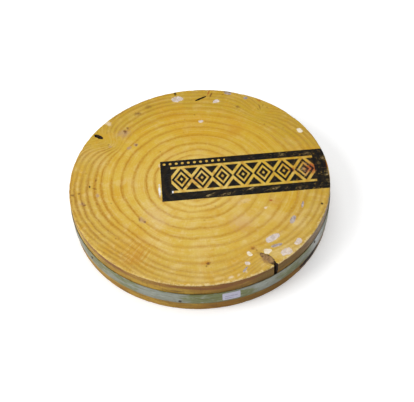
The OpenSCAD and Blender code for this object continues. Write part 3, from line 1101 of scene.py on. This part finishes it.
def hoop_finish():
    look = Look("galvanised_strip")
    x, y, z = look.apart(look.place)
    patch = look.cloud((18, 18, 40), 3.0, 0.55)
    streak = look.cloud((22, 22, 260), 4.0, 0.6)
    scuff = look.cloud((90, 90, 420), 3.0, 0.65)
    # Painted reflection: the grey-green and olive patches stand for green surroundings mirrored in
    # the steel.
    colour = look.tinted(
        look.mix(patch.span(0.4, 0.54), (152, 157, 145), (120, 127, 77)),
        (streak, 0.5, 0.68, 0.55, (168, 174, 170)), (streak, 0.46, 0.32, 0.55, (98, 100, 56)),
        (scuff, 0.52, 0.66, 0.6, (104, 98, 58)), (scuff, 0.44, 0.32, 0.6, (186, 190, 184)),
        # Painted shade: the strip is darker at its far left.
        (x, -0.13, -0.17, 0.3, (104, 98, 62)),
    )
    # Painted reflection: a bright patch on the strip round 327 degrees, broken up by its streaks.
    painted_glint = abs(look.math("ARCTAN2", y, x) - math.radians(PAINTED_GLINT_AT - 360))
    painted_glint = painted_glint + (streak - 0.5) * 0.12
    # Painted shade and dirt: the strip darkens along both of its edges, where it meets the wood.
    edge = look.math("MINIMUM", z - HOOP_LOW * MM, HOOP_HIGH * MM - z)
    edge = edge + (scuff - 0.5) * 0.006
    colour = look.tinted(
        colour, (painted_glint, 0.17, 0.0, 0.75, (222, 225, 228)), (edge, 0.0025, 0.0, 0.35, (94, 84, 56))
    )
    return look.wear(
        colour, streak * 0.3 + 0.2, (patch, 0.002, 0.25), (scuff, 0.0002, 0.3), metal=0.5
    )


hoop = wound_strip(hoop_finish())
smoothed(hoop, 40)
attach(hoop, "root")
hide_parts("steel_hoop")

# Hoop nails and lap rivets
# Eight wire nails, at three heights, fix the strip to the wood. Two dome-headed rivets join
# the lap, with their tails flattened behind it.
NAILS = [(6, 0), (48, -1), (90, 1), (131, 0), (173, -1), (215, 0), (259, -1), (324, 1)]
NAIL_ROW = 7
NAIL_R = BLOCK_R + HOOP_FIT + HOOP_T
NAIL_TILT = 0.8
NAIL_SHAPE = [
    (0, -20), (1, -16), (1, 0), (2.25, 0), (2.25, 0.45), (1.9, 0.75), (0.9, 0.8), (0, 0.8),
]
RIVET_ANGLES = [64.86, 70.59]
RIVET_SINK = 0.016
RIVET_R = BLOCK_R + HOOP_FIT - RIVET_SINK
RIVET_SHAPE = [
    (0, -0.6), (2.5, -0.6), (2.5, 0), (1.5, 0), (1.5, 2.12), (3, 2.12), (2.85, 2.55),
    (2.3, 2.95), (1.5, 3.2), (0.7, 3.3), (0, 3.32),
]


def turned(profile, steps=32):
    """A round solid turned about its own upright line from (radius, height) points."""
    turns = [2 * math.pi * i / steps for i in range(steps)]
    return stacked(
        [[around(r, a, z) for a in (turns if r > 0 else turns[:1])] for r, z in profile]
    )


def set_round_the_rim(name, shape, spots, tilt, material):
    """One fastener at each (radius, angle, height), pointing outwards, a little uneven."""
    template = linked(name + "_shape", joined_mesh(name + "_shape", [turned(shape)]))
    spread = bpy.data.meshes.new(name)
    places = [Vector(around(r, math.radians(angle), z)) * MM for r, angle, z in spots]
    spread.from_pydata(places, [], [])
    weave = Weave(name)
    part = weave.given("Part", template, "NodeSocketObject")
    lean = weave.given("Tilt", math.radians(tilt))
    seed = weave.given("Seed", 7, "NodeSocketInt")
    points = weave.add("GeometryNodeMeshToPoints", Mesh=weave.start.outputs["Geometry"])
    where = weave.add("GeometryNodeInputPosition")
    flat = weave.vector("MULTIPLY", where, (1, 1, 0))
    outwards = weave.add("FunctionNodeAlignRotationToVector", {"axis": "Z"}, Vector=flat)
    spin = weave.add(
        "FunctionNodeRandomValue", {"data_type": "FLOAT_VECTOR"}, Seed=seed,
        Min=(-1, -1, -3.14), Max=(1, 1, 3.14),
    )
    amount = weave.add("ShaderNodeCombineXYZ", X=lean, Y=lean, Z=1.0)
    sway = weave.vector("MULTIPLY", spin, amount)
    twist = weave.add("FunctionNodeEulerToRotation", Euler=sway)
    both = weave.add("FunctionNodeRotateRotation", {"rotation_space": "LOCAL"})
    facing = weave.fed(both, (outwards, twist))
    source = weave.add("GeometryNodeObjectInfo", Object=part)
    copies = weave.add(
        "GeometryNodeInstanceOnPoints", Points=points,
        Instance=source.outputs["Geometry"], Rotation=facing,
    )
    piece = weave.baked(copies, spread, material)
    bpy.data.objects.remove(template)
    smoothed(piece, 35)
    return piece


def fastener_finish(name, bright, dull, stain, stained, metal):
    look = Look(name)
    grain = look.cloud(900, 4.0, 0.6)
    rust = look.cloud(350, 3.0, 0.6)
    colour = look.mix(grain.span(0.35, 0.65), bright, dull)
    colour = look.tinted(colour, (rust, 0.4, 0.7, stained, stain))
    return look.wear(colour, grain * 0.3 + 0.3, (grain, 0.0003, 0.6), metal=metal)


nails = set_round_the_rim(
    "strip_nails", NAIL_SHAPE,
    [(NAIL_R, angle, HOOP_MID + NAIL_ROW * row) for angle, row in NAILS], NAIL_TILT,
    fastener_finish("dark_nail", (92, 88, 80), (58, 52, 44), (70, 44, 28), 0.8, 0.6),
)
rivets = set_round_the_rim(
    "dome_rivets", RIVET_SHAPE, [(RIVET_R, angle, HOOP_MID) for angle in RIVET_ANGLES], 0.0,
    fastener_finish("zinc_rivet", (196, 198, 196), (170, 172, 168), (140, 128, 104), 0.35, 0.7),
)
for piece, node, slot in (
    (nails, "hoop_nails", "nail_steel"), (rivets, "lap_rivets", "rivet_steel")
):
    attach(piece, "root")
    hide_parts(node)

# Price label
# A blank price-gun sticker pressed round the front of the strip, pale lavender with two
# faint blue-grey rules, its corners cut round and its paper a little grubby.
LABEL_LOW, LABEL_HIGH = heights("price_label")
LABEL_AT = 280
LABEL_HALF = 13
LABEL_ARC = math.degrees(2 * LABEL_HALF / BLOCK_R)
LABEL_GAP = 0.05
LABEL_R = NAIL_R + LABEL_GAP
LABEL_T = 0.15
LABEL_CORNER = 1.2
LABEL_COLUMNS = 40
LABEL_ROWS = 12
# Printed rules: height above the label's middle, left end, right end
RULES = [(0.2, -9.5, 9.5), (-4.2, -9.5, 3.0)]


def sticker():
    verts = []
    faces = []
    for r in (LABEL_R + LABEL_T, LABEL_R):
        for i in range(LABEL_COLUMNS + 1):
            u = -LABEL_HALF + 2 * LABEL_HALF * i / LABEL_COLUMNS
            drop = max(0, abs(u) - (LABEL_HALF - LABEL_CORNER))
            drop = LABEL_CORNER - math.sqrt(max(LABEL_CORNER * LABEL_CORNER - drop * drop, 0))
            a = math.radians(LABEL_AT + LABEL_ARC * u / (2 * LABEL_HALF))
            for j in range(LABEL_ROWS + 1):
                z = LABEL_LOW + drop + (LABEL_HIGH - LABEL_LOW - 2 * drop) * j / LABEL_ROWS
                verts.append([place * MM for place in around(r, a, z)])
    step = LABEL_ROWS + 1
    back = (LABEL_COLUMNS + 1) * step
    for i in range(LABEL_COLUMNS):
        for a in range(i * step, i * step + LABEL_ROWS):
            face = (a, a + step, a + step + 1, a + 1)
            faces += [face, tuple(back + corner for corner in face)]
    border = [i * step for i in range(LABEL_COLUMNS)]
    border += [LABEL_COLUMNS * step + j for j in range(LABEL_ROWS)]
    border += [back - 1 - corner for corner in border]
    for a, b in zip(border, border[1:] + border[:1]):
        faces.append((a, b, back + b, back + a))
    return verts, faces


def sticker_finish():
    look = Look("sticker_paper")
    x, y, z = look.apart(look.place)
    fibre = look.cloud(1200, 4.0, 0.6)
    smudge = look.cloud(240, 3.0, 0.6)
    colour = look.mix(fibre.span(0.3, 0.7), (216, 214, 234), (200, 198, 220))
    along = (look.math("ARCTAN2", y, x) - math.radians(LABEL_AT - 360)) * BLOCK_R
    up = z * (1 / MM) - (LABEL_LOW + LABEL_HIGH) / 2
    rules = 0.0
    for level, left, right in RULES:
        rule = abs(up - level).span(0.75, 0.35) * along.span(left, left + 0.6)
        rules = look.most(rule * along.span(right, right - 0.6), rules)
    worn_ink = look.cloud(700, 2.0, 0.7).span(0.3, 0.5, 0.85, 0.15)
    colour = look.mix(rules * worn_ink, colour, (112, 108, 150))
    colour = look.tinted(colour, (smudge, 0.55, 0.75, 0.35, (168, 160, 160)))
    return look.wear(colour, fibre * 0.2 + 0.4, (fibre, 0.0001, 0.4))


label = made("blank_label", [sticker()], sticker_finish(), 40)
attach(label, "root")
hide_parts("price_label")

# Floor and light
# A pale floor under two broad soft lamps, one from above and one from the left, with a weak
# even light from all round.
FLOOR_SIZE = 6.0
FLOOR_GLOW = 0.3
SKY = 0.33
# Lamps: place, size, power
LAMPS = [((-1.5, -0.5, 1.5), 1.0, 26), ((0.1, 0.3, 2.0), 1.8, 20)]

corners = [
    (x * FLOOR_SIZE, y * FLOOR_SIZE, 0) for x, y in ((-1, -1), (1, -1), (1, 1), (-1, 1))
]
floor = linked("floor", joined_mesh("floor", [(corners, [(0, 1, 2, 3)])]))
floor_look = Look("pale_floor")
floor_look.shader.inputs["Emission Color"].default_value = (1, 1, 1, 1)
seen = floor_look.add("ShaderNodeLightPath").outputs["Is Camera Ray"]
glow = floor_look.math("MULTIPLY", seen, FLOOR_GLOW)
floor_look.feed(floor_look.shader.inputs["Emission Strength"], glow)
floor.data.materials.append(floor_look.wear(paint(240, 240, 240), 0.9, gloss=0.1))

bpy.context.scene.view_settings.view_transform = "Standard"
world = bpy.data.worlds.new("studio")
world.use_nodes = True
world.node_tree.nodes["Background"].inputs["Color"].default_value = (1, 1, 1, 1)
world.node_tree.nodes["Background"].inputs["Strength"].default_value = SKY
bpy.context.scene.world = world

for number, (place, size, power) in enumerate(LAMPS):
    light = bpy.data.lights.new(f"lamp_{number}", "AREA")
    light.size = size
    light.energy = power
    lamp = bpy.data.objects.new(f"lamp_{number}", light)
    lamp.location = place
    lamp.rotation_euler = (-Vector(place)).to_track_quat("-Z", "Y").to_euler()
    bpy.context.collection.objects.link(lamp)
